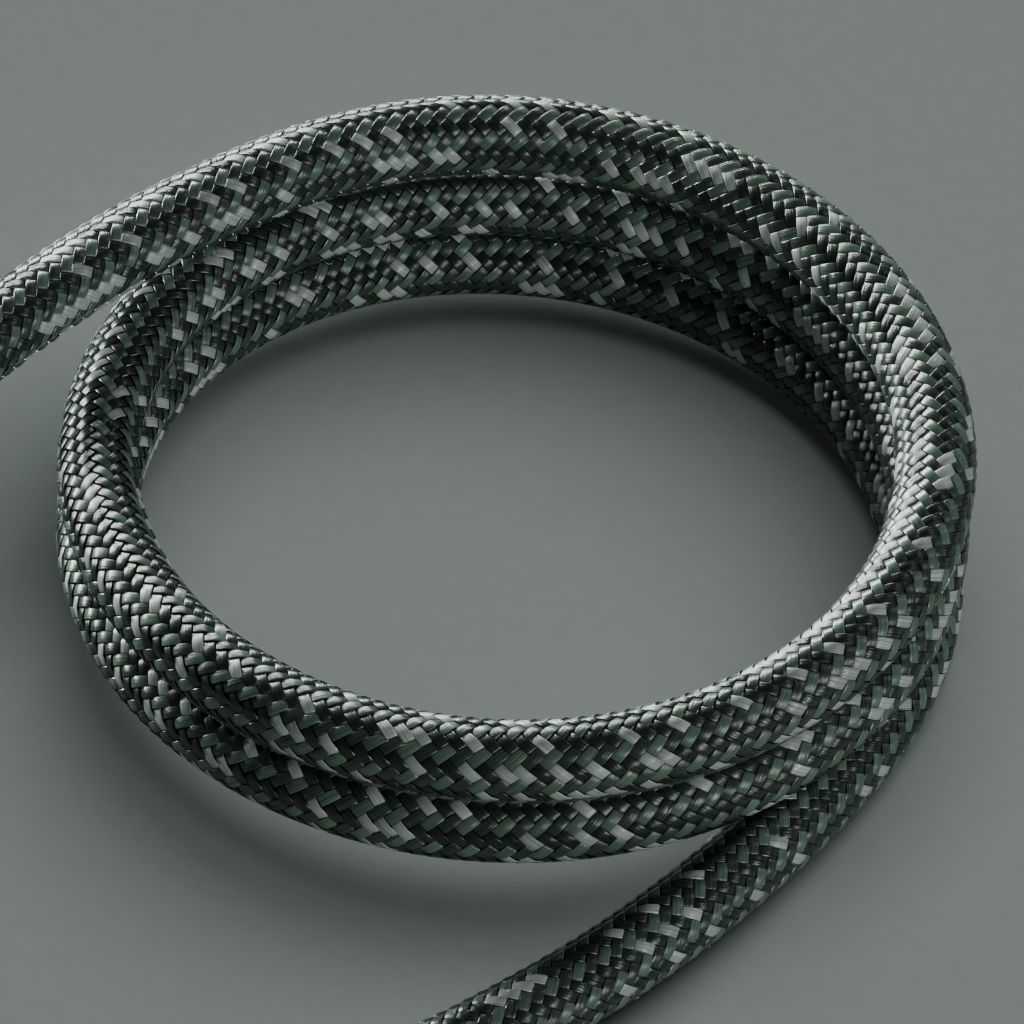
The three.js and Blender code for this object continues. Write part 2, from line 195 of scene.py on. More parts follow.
def framesAlong(line):
    # directions across the cord that turn as little as possible from step to step
    tangent = np.gradient(line, axis=0)
    tangent /= np.linalg.norm(tangent, axis=1)[:, None]
    normal = np.zeros_like(line)
    normal[0] = np.cross(np.cross(tangent[0], [0, 0, 1]), tangent[0])
    for i in range(1, len(line)):
        n = normal[i - 1] - tangent[i] * (normal[i - 1] @ tangent[i])
        normal[i] = n / np.linalg.norm(n)
    return tangent, normal, np.cross(tangent, normal)


line, along = smoothLine(routePoints(), 0.0003)
tangent, normal, side = framesAlong(line)
cordLength = float(along[-1])
print("cord route", round(cordLength, 4), "m")


def meshFrom(name, verts, quads):
    # a mesh object from arrays of points and four-cornered faces
    mesh = bpy.data.meshes.new(name)
    mesh.vertices.add(len(verts))
    mesh.vertices.foreach_set("co", verts.astype(np.float32).ravel())
    mesh.loops.add(quads.size)
    mesh.loops.foreach_set("vertex_index", quads.astype(np.int32).ravel())
    mesh.polygons.add(len(quads))
    mesh.polygons.foreach_set("loop_start", np.arange(0, quads.size, 4, dtype=np.int32))
    mesh.polygons.foreach_set("use_smooth", np.ones(len(quads), dtype=bool))
    mesh.update(calc_edges=True)
    mesh.validate()
    thing = bpy.data.objects.new(name, mesh)
    bpy.context.collection.objects.link(thing)
    return thing


def onCord(s, angle, radius):
    # points at a length along the cord, an angle round it and a distance from its middle
    k = np.clip(s / along[-1] * (len(along) - 1), 0, len(along) - 1.001)
    low = k.astype(int)
    share = (k - low)[..., None]

    def between(values):
        return values[low] * (1 - share) + values[low + 1] * share

    c, n, b = between(line), between(normal), between(side)
    return c + radius[..., None] * (np.cos(angle)[..., None] * n + np.sin(angle)[..., None] * b)


def makeCore():
    core = {"radius": 0.435, "sides": 20, "step": 0.0009}
    count = int(cordLength / core["step"])
    s = np.linspace(0, cordLength, count + 1)
    a = np.linspace(0, 2 * math.pi, core["sides"], endpoint=False)
    sGrid, aGrid = np.meshgrid(s, a, indexing="ij")
    points = onCord(sGrid, aGrid, np.full(sGrid.shape, core["radius"] * cord["diameter"]))
    n = core["sides"]
    i, j = np.meshgrid(np.arange(count), np.arange(n), indexing="ij")
    corners = [i * n + j, i * n + (j + 1) % n, (i + 1) * n + (j + 1) % n, (i + 1) * n + j]
    quads = np.stack(corners, axis=-1).reshape(-1, 4)
    return meshFrom("cordCore", points.reshape(-1, 3), quads[:, ::-1])


braid = {
    "yarns": 16,          # in each direction
    "tileStep": 0.2,      # along the cord between neighbours in a row, in diameters
    "turned": -13,        # degrees that the rows are turned round the cord
    "width": 1.0,         # share of the room for a yarn
    "tilt": 0.006,        # rise of one edge over the other, so that yarns lap their neighbours
    "arch": 0.020,        # rise of a float's middle over its shoulders, in diameters
    "dive": 0.03,         # drop of its ends below the shoulders
    "shoulder": 0.82,     # where the drop starts, in crossings from the middle
    "fall": 0.27,         # length of the drop
    "camber": 0.009,      # fall at a yarn's edges
    "flat": 0.84,         # share of the width before the edges fall
    "reach": 1.34,        # half a float's length, in crossings
    "seed": 7,
    "patches": 0.3,       # share of the patches that hold more silver
    "silverInPatch": 0.52,
    "silverElsewhere": 0.19,
    "silver": (0.40, 0.43, 0.415),
    "black": (0.019, 0.027, 0.023),
    "green": (0.105, 0.158, 0.126),
    "charcoal": (0.040, 0.055, 0.048),
}


def floatsBetween(start, end):
    # every visible float whose middle lies between two lengths along the cord
    d = cord["diameter"]
    rows = braid["yarns"] // 2
    step = braid["tileStep"] * d
    floats = []
    for row in range(rows):
        for family in (0, 1):
            shift = (-0.25, 0.25)[family]
            first = math.ceil(start / step - shift)
            last = math.floor(end / step - shift)
            n = np.arange(first, last + 1)
            s = (n + shift) * step
            keep = (s >= start) & (s < end)
            n, s = n[keep], s[keep]
            angle = (4 * row + (0.5, 2.5)[family]) * math.pi / braid["yarns"]
            angle += math.radians(braid["turned"])
            yarn = n - 2 * row if family == 0 else n + 2 * row
            same = np.ones(len(s))
            floats.append(np.stack([s, angle * same, family * same, yarn, row * same, n], axis=1))
    return np.vstack(floats)


def yarnColours(floats):
    rng = np.random.default_rng(braid["seed"])
    size = (9, 40000)
    table = rng.random(size)
    patch = rng.random(size)
    family = floats[:, 2].astype(int)
    yarn = floats[:, 3].astype(int)
    row = floats[:, 4].astype(int)
    n = floats[:, 5].astype(int) + 200
    pick = table[row, n]
    rich = patch[row, n // 3] < braid["patches"]
    silver = pick < np.where(rich, braid["silverInPatch"], braid["silverElsewhere"])
    green = (yarn % 2) == 0
    colour = np.where((family == 0)[:, None],
                      np.where(silver[:, None], braid["silver"], braid["black"]),
                      np.where(green[:, None], braid["green"], braid["charcoal"]))
    tone = 0.86 + 0.28 * table[(row + 3) % 9, n + 5000]
    return colour * tone[:, None]


def makeBraid(name, start, end, lengthwise, across):
    d = cord["diameter"]
    floats = floatsBetween(start, end)
    colours = yarnColours(floats)
    u = braid["reach"] * np.array(lengthwise)
    v = np.array(across)
    uGrid, vGrid = np.meshgrid(u, v, indexing="ij")
    # one crossing along a yarn, and half the room across it
    stepS = braid["tileStep"] * d / 2
    stepA = math.pi / braid["yarns"]
    dive = np.clip((np.abs(uGrid) - braid["shoulder"]) / braid["fall"], 0, 1.6) ** 2
    edge = np.clip((np.abs(vGrid) - braid["flat"]) / (1 - braid["flat"]), 0, 1) ** 2
    rise = braid["tilt"] * vGrid - braid["arch"] * uGrid ** 2
    rise -= braid["dive"] * dive + braid["camber"] * edge
    half = 0.5 * braid["width"]
    sign = np.where(floats[:, 2] == 0, 1.0, -1.0)[:, None, None]
    s = floats[:, 0][:, None, None] + stepS * (uGrid + half * vGrid)[None]
    # the yarn runs along (stepS, sign*stepA) and its width along (stepS, -sign*stepA)
    a = floats[:, 1][:, None, None] + sign * stepA * (uGrid - half * vGrid)[None]
    radius = (0.5 + rise)[None] * d + np.zeros_like(s)
    points = onCord(np.clip(s, 0, cordLength), a, radius)
    count = len(floats)
    w = len(v)
    per = len(u) * w
    i, j = np.meshgrid(np.arange(len(u) - 1), np.arange(w - 1), indexing="ij")
    corners = [i * w + j, (i + 1) * w + j, (i + 1) * w + j + 1, i * w + j + 1]
    quad = np.stack(corners, axis=-1).reshape(-1, 4)
    quads = np.arange(count)[:, None, None] * per + quad[None]
    # faces point outwards: one family's are wound the other way
    turned = quads[:, :, ::-1]
    quads = np.where((floats[:, 2] == 0)[:, None, None], turned, quads).reshape(-1, 4)
    sleeve = meshFrom(name, points.reshape(-1, 3), quads)
    mesh = sleeve.data
    rng = np.random.default_rng(braid["seed"] + 1)
    shift = rng.random((count, 2)) * 40
    uv = np.stack([uGrid * 0.5, vGrid * 0.5], axis=-1).reshape(1, per, 2) + shift[:, None]
    uv = uv.reshape(-1, 2)
    layer = mesh.uv_layers.new(name="yarn")
    loops = np.zeros(len(mesh.loops), dtype=np.int32)
    mesh.loops.foreach_get("vertex_index", loops)
    layer.data.foreach_set("uv", uv[loops].astype(np.float32).ravel())
    paint = mesh.color_attributes.new(name="yarnColour", type="FLOAT_COLOR", domain="POINT")
    rgba = np.ones((count, per, 4), dtype=np.float32)
    rgba[:, :, :3] = colours[:, None, :]
    paint.data.foreach_set("color", rgba.ravel())
    return sleeve


def nodesOf(material):
    material.use_nodes = True
    tree = material.node_tree
    return tree, tree.nodes, tree.links, tree.nodes["Principled BSDF"]


def makeYarnMaterial():
    material = bpy.data.materials.new("yarn")
    tree, nodes, links, shader = nodesOf(material)
    colour = nodes.new("ShaderNodeAttribute")
    colour.attribute_name = "yarnColour"
    place = nodes.new("ShaderNodeUVMap")
    place.uv_map = "yarn"
    stretch = nodes.new("ShaderNodeMapping")
    stretch.inputs["Scale"].default_value = (0.25, 13, 1)
    streaks = nodes.new("ShaderNodeTexNoise")
    streaks.inputs["Scale"].default_value = 1.0
    streaks.inputs["Detail"].default_value = 1.5
    streaks.inputs["Roughness"].default_value = 0.6
    links.new(place.outputs["UV"], stretch.inputs["Vector"])
    links.new(stretch.outputs["Vector"], streaks.inputs["Vector"])
    tone = nodes.new("ShaderNodeMapRange")
    tone.inputs["From Min"].default_value = 0.3
    tone.inputs["From Max"].default_value = 0.7
    tone.inputs["To Min"].default_value = 0.5
    tone.inputs["To Max"].default_value = 1.4
    links.new(streaks.outputs["Fac"], tone.inputs["Value"])
    tint = nodes.new("ShaderNodeVectorMath")
    tint.operation = "SCALE"
    links.new(colour.outputs["Color"], tint.inputs[0])
    links.new(tone.outputs["Result"], tint.inputs["Scale"])
    links.new(tint.outputs["Vector"], shader.inputs["Base Color"])
    bump = nodes.new("ShaderNodeBump")
    bump.inputs["Strength"].default_value = 0.6
    bump.inputs["Distance"].default_value = 0.00004
    links.new(streaks.outputs["Fac"], bump.inputs["Height"])
    links.new(bump.outputs["Normal"], shader.inputs["Normal"])
    gloss = nodes.new("ShaderNodeMapRange")
    gloss.inputs["From Min"].default_value = 0.35
    gloss.inputs["From Max"].default_value = 0.65
    gloss.inputs["To Min"].default_value = 0.15
    gloss.inputs["To Max"].default_value = 1.0
    links.new(streaks.outputs["Fac"], gloss.inputs["Value"])
    links.new(gloss.outputs["Result"], shader.inputs["Specular IOR Level"])
    shader.inputs["Roughness"].default_value = 0.27
    return material


def makeCoreMaterial():
    material = bpy.data.materials.new("core")
    tree, nodes, links, shader = nodesOf(material)
    place = nodes.new("ShaderNodeTexCoord")
    grain = nodes.new("ShaderNodeTexNoise")
    grain.inputs["Scale"].default_value = 2500
    links.new(place.outputs["Object"], grain.inputs["Vector"])
    ramp = nodes.new("ShaderNodeValToRGB")
    ramp.color_ramp.elements[0].color = (0.004, 0.005, 0.005, 1)
    ramp.color_ramp.elements[1].color = (0.010, 0.013, 0.012, 1)
    links.new(grain.outputs["Fac"], ramp.inputs["Fac"])
    links.new(ramp.outputs["Color"], shader.inputs["Base Color"])
    shader.inputs["Roughness"].default_value = 0.8
    return material


yarnMaterial = makeYarnMaterial()
coreMaterial = makeCoreMaterial()
core = makeCore()
core.data.materials.append(coreMaterial)
seenLength = 0.44
# where a yarn's mesh is cut, lengthwise and across
fine = ([-1, -0.85, -0.74, -0.63, 0, 0.63, 0.74, 0.85, 1], [-1, -0.93, -0.84, 0.84, 0.93, 1])
coarse = ([-1, -0.8, -0.52, 0, 0.52, 0.8, 1], [-1, -0.5, 0.5, 1])
sleeves = []
for k in range(4):
    a, b = seenLength * k / 4, seenLength * (k + 1) / 4
    sleeves.append(makeBraid("braidSeen" + "ABCD"[k], a, b, *fine))
for k in range(3):
    a = seenLength + (cordLength - seenLength) * k / 3
    b = seenLength + (cordLength - seenLength) * (k + 1) / 3
    sleeves.append(makeBraid("braidWound" + "ABC"[k], a, b, *coarse))
for sleeve in sleeves:
    sleeve.data.materials.append(yarnMaterial)
cordNodes = ["coil_ring", "wound_ring", "cord_upper", "cord_lower", "cord_exit"]
for piece in [core, *sleeves]:
    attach(piece, "cable")
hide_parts(*cordNodes)
print("braid made", sum(len(s.data.polygons) for s in sleeves), "faces")


def makeSurface(name, dark, light, grain, rough, metal=0.0, bump=0.0, stretch=(1, 1, 1), specular=0.5):
    # a finish with a grain in its colour, its shine and its relief
    material = bpy.data.materials.new(name)
    tree, nodes, links, shader = nodesOf(material)
    place = nodes.new("ShaderNodeTexCoord")
    scale = nodes.new("ShaderNodeMapping")
    scale.inputs["Scale"].default_value = stretch
    noise = nodes.new("ShaderNodeTexNoise")
    noise.inputs["Scale"].default_value = grain
    noise.inputs["Detail"].default_value = 5
    noise.inputs["Roughness"].default_value = 0.65
    links.new(place.outputs["Object"], scale.inputs["Vector"])
    links.new(scale.outputs["Vector"], noise.inputs["Vector"])
    ramp = nodes.new("ShaderNodeValToRGB")
    ramp.color_ramp.elements[0].position = 0.3
    ramp.color_ramp.elements[1].position = 0.7
    ramp.color_ramp.elements[0].color = (*dark, 1)
    ramp.color_ramp.elements[1].color = (*light, 1)
    links.new(noise.outputs["Fac"], ramp.inputs["Fac"])
    links.new(ramp.outputs["Color"], shader.inputs["Base Color"])
    shine = nodes.new("ShaderNodeMapRange")
    shine.inputs["From Min"].default_value = 0.3
    shine.inputs["From Max"].default_value = 0.7
    shine.inputs["To Min"].default_value = rough * 0.8
    shine.inputs["To Max"].default_value = min(1, rough * 1.2)
    links.new(noise.outputs["Fac"], shine.inputs["Value"])
    links.new(shine.outputs["Result"], shader.inputs["Roughness"])
    shader.inputs["Metallic"].default_value = metal
    shader.inputs["Specular IOR Level"].default_value = specular
    if bump:
        relief = nodes.new("ShaderNodeBump")
        relief.inputs["Strength"].default_value = 0.5
        relief.inputs["Distance"].default_value = bump
        links.new(noise.outputs["Fac"], relief.inputs["Height"])
        links.new(relief.outputs["Normal"], shader.inputs["Normal"])
    return material


def makeBoardMaterial():
    # solder mask over copper tracks
    material = makeSurface("boardMask", (0.004, 0.030, 0.012), (0.007, 0.042, 0.018), 900, 0.3)
    tree, nodes, links, shader = nodesOf(material)
    place = nodes.new("ShaderNodeTexCoord")
    tracks = nodes.new("ShaderNodeTexBrick")
    tracks.inputs["Scale"].default_value = 900
    tracks.inputs["Mortar Size"].default_value = 0.06
    tracks.inputs["Color1"].default_value = (0.004, 0.030, 0.012, 1)
    tracks.inputs["Color2"].default_value = (0.008, 0.050, 0.021, 1)
    tracks.inputs["Mortar"].default_value = (0.02, 0.11, 0.05, 1)
    links.new(place.outputs["Object"], tracks.inputs["Vector"])
    links.new(tracks.outputs["Color"], shader.inputs["Base Color"])
    return material


def makeWebMaterial():
    # narrow woven tape: rows of small raised loops, with painted shade in the gaps between them
    material = bpy.data.materials.new("web")
    tree, nodes, links, shader = nodesOf(material)
    place = nodes.new("ShaderNodeUVMap")
    place.uv_map = "tape"
    loopsAndGapShade = nodes.new("ShaderNodeTexBrick")
    loopsAndGapShade.offset = 0.5
    loopsAndGapShade.inputs["Scale"].default_value = 1
    loopsAndGapShade.inputs["Brick Width"].default_value = 0.38
    loopsAndGapShade.inputs["Row Height"].default_value = 0.24
    loopsAndGapShade.inputs["Mortar Size"].default_value = 0.09
    loopsAndGapShade.inputs["Mortar Smooth"].default_value = 1
    loopsAndGapShade.inputs["Color1"].default_value = (0.015, 0.019, 0.017, 1)
    loopsAndGapShade.inputs["Color2"].default_value = (0.018, 0.023, 0.021, 1)
    # the gaps between the loops get a darker colour than the loops: painted shade in the hollows of the
    # weave
    loopsAndGapShade.inputs["Mortar"].default_value = (0.009, 0.012, 0.011, 1)
    fuzz = nodes.new("ShaderNodeTexNoise")
    fuzz.inputs["Scale"].default_value = 6
    fuzz.inputs["Detail"].default_value = 4
    links.new(place.outputs["UV"], loopsAndGapShade.inputs["Vector"])
    links.new(place.outputs["UV"], fuzz.inputs["Vector"])
    links.new(loopsAndGapShade.outputs["Color"], shader.inputs["Base Color"])
    height = nodes.new("ShaderNodeMath")
    height.operation = "MULTIPLY_ADD"
    height.inputs[1].default_value = -1
    links.new(loopsAndGapShade.outputs["Fac"], height.inputs[0])
    links.new(fuzz.outputs["Fac"], height.inputs[2])
    relief = nodes.new("ShaderNodeBump")
    relief.inputs["Strength"].default_value = 0.7
    relief.inputs["Distance"].default_value = 0.00007
    links.new(height.outputs["Value"], relief.inputs["Height"])
    links.new(relief.outputs["Normal"], shader.inputs["Normal"])
    shader.inputs["Roughness"].default_value = 0.85
    shader.inputs["Specular IOR Level"].default_value = 0.2
    return material


def only(thing):
    bpy.ops.object.select_all(action="DESELECT")
    thing.select_set(True)
    bpy.context.view_layer.objects.active = thing


def choose(thing, test):
    # edit mode with the points that pass the test selected
    only(thing)
    bpy.ops.object.mode_set(mode="EDIT")
    bpy.ops.mesh.select_mode(type="VERT")
    bpy.ops.mesh.select_all(action="DESELECT")
    bpy.ops.object.mode_set(mode="OBJECT")
    for vertex in thing.data.vertices:
        vertex.select = bool(test(vertex.co))
    bpy.ops.object.mode_set(mode="EDIT")


def useModifier(thing, kind, **settings):
    only(thing)
    modifier = thing.modifiers.new(kind.lower(), kind)
    for key, value in settings.items():
        setattr(modifier, key, value)
    bpy.ops.object.modifier_apply(modifier=modifier.name)


def outwards(thing):
    choose(thing, lambda co: True)
    bpy.ops.mesh.normals_make_consistent(inside=False)
    bpy.ops.object.mode_set(mode="OBJECT")


def soften(thing, width, segments=3, material=-1, angle=35):
    useModifier(thing, "BEVEL", width=width, segments=segments, limit_method="ANGLE",
                angle_limit=math.radians(angle), material=material)
    only(thing)
    bpy.ops.object.shade_smooth_by_angle(angle=math.radians(40))


def spread(thing, width, height):
    # pull a round outline apart into one with flat top and bottom
    for way in (-1, 1):
        choose(thing, lambda co: way * co.y > 0)
        bpy.ops.transform.translate(value=(0, way * (width - height) / 2, 0))
        bpy.ops.object.mode_set(mode="OBJECT")


def makeBar(name, width, height, back, front, wall):
    # a hollow bar with round sides along X
    sides = 48
    bpy.ops.object.select_all(action="DESELECT")
    bpy.ops.mesh.primitive_cylinder_add(vertices=sides, radius=height / 2, depth=front - back,
                                        end_fill_type="NOTHING", location=((front + back) / 2, 0, 0),
                                        rotation=(0, math.pi / 2, 0))
    bar = bpy.context.object
    bar.name = name
    bpy.ops.object.transform_apply()
    choose(bar, lambda co: True)
    bpy.ops.transform.rotate(value=math.pi / sides, orient_axis="X", center_override=(0, 0, 0))
    bpy.ops.object.mode_set(mode="OBJECT")
    spread(bar, width, height)
    outwards(bar)
    useModifier(bar, "SOLIDIFY", thickness=wall, offset=-1, use_even_offset=True)
    outwards(bar)
    return bar


def makePlate(name, outer, hole, back, front):
    # a flat plate with a hole, both with round sides, facing along X
    sides = 48
    rings = []
    for width, height in (outer, hole):
        bpy.ops.object.select_all(action="DESELECT")
        bpy.ops.mesh.primitive_circle_add(vertices=sides, radius=height / 2, location=(front, 0, 0),
                                          rotation=(0, math.pi / 2, 0))
        ring = bpy.context.object
        bpy.ops.object.transform_apply()
        choose(ring, lambda co: True)
        bpy.ops.transform.rotate(value=math.pi / sides, orient_axis="X", center_override=(0, 0, 0))
        bpy.ops.object.mode_set(mode="OBJECT")
        spread(ring, width, height)
        rings.append(ring)
    only(rings[0])
    rings[1].select_set(True)
    bpy.ops.object.join()
    plate = bpy.context.object
    plate.name = name
    choose(plate, lambda co: True)
    bpy.ops.mesh.bridge_edge_loops()
    bpy.ops.mesh.select_all(action="SELECT")
    bpy.ops.mesh.extrude_region_move(TRANSFORM_OT_translate={"value": (back - front, 0, 0)})
    bpy.ops.object.mode_set(mode="OBJECT")
    outwards(plate)
    return plate


def makeTurned(name, profile, sides):
    # a closed outline of (x, radius) turned about X, drawn ring by ring
    x, r = profile[0]
    bpy.ops.object.select_all(action="DESELECT")
    bpy.ops.mesh.primitive_circle_add(vertices=sides, radius=r, location=(x, 0, 0),
                                      rotation=(0, math.pi / 2, 0))
    turned = bpy.context.object
    turned.name = name
    bpy.ops.object.transform_apply()
    choose(turned, lambda co: True)
    for nextX, nextR in profile[1:] + profile[:1]:
        bpy.ops.mesh.extrude_region_move(TRANSFORM_OT_translate={"value": (nextX - x, 0, 0)})
        if nextR != r:
            bpy.ops.transform.resize(value=(1, nextR / r, nextR / r), center_override=(nextX, 0, 0))
        x, r = nextX, nextR
    bpy.ops.mesh.select_all(action="SELECT")
    bpy.ops.mesh.remove_doubles(threshold=0.000001)
    bpy.ops.object.mode_set(mode="OBJECT")
    outwards(turned)
    return turned


# name, dark and light colour, grain, roughness, metal, relief
surfaces = {
    "aluminium": ("anodised", (0.060, 0.068, 0.065), (0.085, 0.095, 0.091), 9000, 0.36, 1.0, 0.000012),
    "chamfer": ("polished", (0.36, 0.39, 0.38), (0.46, 0.49, 0.48), 2600, 0.16, 1.0),
    "cap": ("capPlastic", (0.010, 0.012, 0.012), (0.018, 0.021, 0.020), 5200, 0.42, 0.0, 0.000010),
    "rubber": ("bootRubber", (0.016, 0.019, 0.018), (0.028, 0.033, 0.031), 6500, 0.62, 0.0, 0.000018),
    "steel": ("drawnSteel", (0.58, 0.59, 0.58), (0.63, 0.64, 0.63), 16000, 0.22, 1.0, 0.0000008),
    "latchSteel": ("springSteel", (0.42, 0.42, 0.40), (0.56, 0.56, 0.53), 4200, 0.3, 1.0, 0.000004),
    "screen": ("tinPlate", (0.48, 0.48, 0.46), (0.62, 0.62, 0.59), 1300, 0.34, 1.0, 0.000008),
    "insulator": ("moulding", (0.012, 0.013, 0.013), (0.024, 0.026, 0.026), 3800, 0.4, 0.0, 0.000005),
    "gold": ("goldPlate", (0.70, 0.44, 0.13), (0.86, 0.58, 0.21), 4800, 0.2, 1.0, 0.000003),
    "chip": ("chipEpoxy", (0.008, 0.008, 0.009), (0.018, 0.018, 0.019), 8200, 0.55, 0.0, 0.000008),
    "jacket": ("jacket", (0.010, 0.012, 0.011), (0.020, 0.023, 0.022), 4200, 0.6, 0.0, 0.000010),
    "red": ("wireRed", (0.42, 0.018, 0.014), (0.55, 0.030, 0.022), 2400, 0.42, 0.0, 0.000006),
    "black": ("wireBlack", (0.010, 0.010, 0.011), (0.022, 0.022, 0.023), 2400, 0.42, 0.0, 0.000006),
    "green": ("wireGreen", (0.012, 0.20, 0.050), (0.020, 0.28, 0.075), 2400, 0.42, 0.0, 0.000006),
    "white": ("wireWhite", (0.62, 0.62, 0.59), (0.76, 0.76, 0.73), 2400, 0.42, 0.0, 0.000006),
}
finishes = {key: makeSurface(*facts) for key, facts in surfaces.items()}
finishes["board"] = makeBoardMaterial()
web = makeWebMaterial()
thread = makeSurface("thread", (0.16, 0.18, 0.17), (0.26, 0.29, 0.28), 5200, 0.6, 0.0, 0.00002)

plug = {
    "width": 0.0116, "height": 0.0062, "length": 0.019, "wall": 0.0007, "capThick": 0.0012,
    "shell": (0.00825, 0.0024), "shellReach": 0.00665, "shellInside": 0.005, "shellWall": 0.0003,
    "neck": 0.0041, "fit": 0.00006, "axis": 0.0031, "setBack": 0.00012,
    "sleeveEdge": 0.00022, "shellEdge": 0.0001, "capEdge": 0.00008,
}
boot = {
    "length": 0.0143, "front": 0.00295, "rear": 0.00265, "bore": 0.00231, "collar": 0.0034,
    "loopsAndGapShade": 7, "pitch": 0.0014, "groove": 0.00045, "slope": 0.00012, "depth": 0.0003,
    "gap": 0.0002, "wallBehind": 0.0012, "edge": 0.00009,
}


def bootProfile():
    back = -plug["length"]
    end = back - boot["length"]
    inner = plug["neck"] / 2
    start = back - boot["gap"]
    seat = back - boot["wallBehind"]
    profile = [(start, inner), (start, boot["front"])]

    def radiusAt(x):
        share = (back - x) / boot["length"]
        return boot["front"] + (boot["rear"] - boot["front"]) * share

    x = back - boot["collar"]
    for _ in range(boot["loopsAndGapShade"]):
        low = x - boot["groove"]
        profile.append((x, radiusAt(x)))
        profile.append((x - boot["slope"], radiusAt(x) - boot["depth"]))
        profile.append((low + boot["slope"], radiusAt(low) - boot["depth"]))
        profile.append((low, radiusAt(low)))
        x -= boot["pitch"]
    profile += [(end, radiusAt(end)), (end, boot["bore"]), (seat, boot["bore"]), (seat, inner)]
    return profile


def makePlugPieces():
    gap = 2 * plug["fit"]
    innerWidth = plug["width"] - 2 * plug["wall"]
    innerHeight = plug["height"] - 2 * plug["wall"]
    shellWidth, shellHeight = plug["shell"]
    back = -plug["length"]
    sleeve = makeBar("sleeve", plug["width"], plug["height"], back, 0, plug["wall"])
    sleeve.data.materials.append(finishes["aluminium"])
    sleeve.data.materials.append(finishes["chamfer"])
    soften(sleeve, plug["sleeveEdge"], 3, 1)
    shell = makeBar("shell", shellWidth, shellHeight, -plug["shellInside"], plug["shellReach"],
                    plug["shellWall"])
    shell.data.materials.append(finishes["steel"])
    soften(shell, plug["shellEdge"])
    capOuter = (innerWidth - gap, innerHeight - gap)
    frontHole = (shellWidth + gap, shellHeight + gap)
    frontCap = makePlate("front_cap", capOuter, frontHole, -plug["capThick"], -plug["setBack"])
    frontCap.data.materials.append(finishes["cap"])
    soften(frontCap, plug["capEdge"], 2)
    rearHole = (plug["neck"] + gap, plug["neck"] + gap)
    rearCap = makePlate("rear_cap", capOuter, rearHole, back + plug["setBack"], back + plug["capThick"])
    rearCap.data.materials.append(finishes["cap"])
    soften(rearCap, plug["capEdge"], 2)
    sheath = makeTurned("boot", bootProfile(), 40)
    sheath.data.materials.append(finishes["rubber"])
    soften(sheath, boot["edge"], 2, -1, 30)
    return [sleeve, shell, frontCap, rearCap, sheath]


def placeAt(thing, middle, heading):
    # turn a piece made at the origin to its heading, move it there, and settle it
    only(thing)
    bpy.ops.transform.rotate(value=-math.radians(heading), orient_axis="Z", center_override=(0, 0, 0))
    bpy.ops.transform.translate(value=middle)
    bpy.ops.object.transform_apply()


plugEnds = {
    "plug_a": (routePoints()[0], cord["lowerHeading"]),
    "plug_b": (routePoints()[-1], cord["upperHeading"] - cord["woundExit"]),
}
originals = makePlugPieces()
plugPieces = {"plug_a": originals, "plug_b": []}
for thing in originals:
    only(thing)
    bpy.ops.object.duplicate()
    plugPieces["plug_b"].append(bpy.context.object)
plugNodes = ["sleeve", "shell", "front_cap", "rear_cap", "boot"]
plugSlots = ["sleeve_aluminium", "shell_steel", "cap_plastic", "cap_plastic", "boot_rubber"]
for name, (end, heading) in plugEnds.items():
    reach = plug["length"] + boot["length"]
    turn = math.radians(heading)
    front = (end[0] + reach * math.cos(turn), end[1] + reach * math.sin(turn), plug["axis"])
    for thing, node, slot in zip(plugPieces[name], plugNodes, plugSlots):
        placeAt(thing, front, heading)
        thing.name = name + "_" + node + "_made"
        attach(thing, "cable")
        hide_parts(name + "_" + node)
print("plugs made")


def dress(node, finish):
    node = bpy.data.objects[node]
    for slot in node.material_slots:
        slot.material = finishes[finish]


insideFinishes = {
    "cord_end": "jacket", "ferrule": "screen", "wafer_upper": "insulator", "wafer_lower": "insulator",
    "contacts_upper": "gold", "contacts_lower": "gold", "core": "insulator", "mid_plate": "latchSteel",
    "latch_left": "latchSteel", "latch_right": "latchSteel", "board": "board", "chip": "chip",
    "screen_upper": "screen", "screen_lower": "screen", "wire_power": "red", "wire_ground": "black",
    "wire_data_plus": "green", "wire_data_minus": "white",
}
for name in plugEnds:
    for node, finish in insideFinishes.items():
        dress(name + "_" + node, finish)
print("inside nodes dressed")


strap = {
    "width": 0.012, "thick": 0.0007, "slack": 0.00005, "lift": 0.00075, "flapThick": 0.0008,
    "edge": 0.00018, "corner": 0.0014, "stitch": 0.0009, "stitchThick": 0.00024, "stitchPitch": 0.00118,
    "rowInset": 0.0007, "sideRow": 0.0052, "sideStart": 0.0016, "sidePitch": 0.00105,
}
strapMiddle = middleOf("strap_band")
strapLine = middleOf("wound_ring")[1] + cord["woundRadius"]


def strandsInStrap():
    d = cord["diameter"]
    low = 0.5 * d + strap["lift"]
    return [(-0.5 * d, low), (0.5 * d, low), (0, 1.4 * d + strap["lift"])]


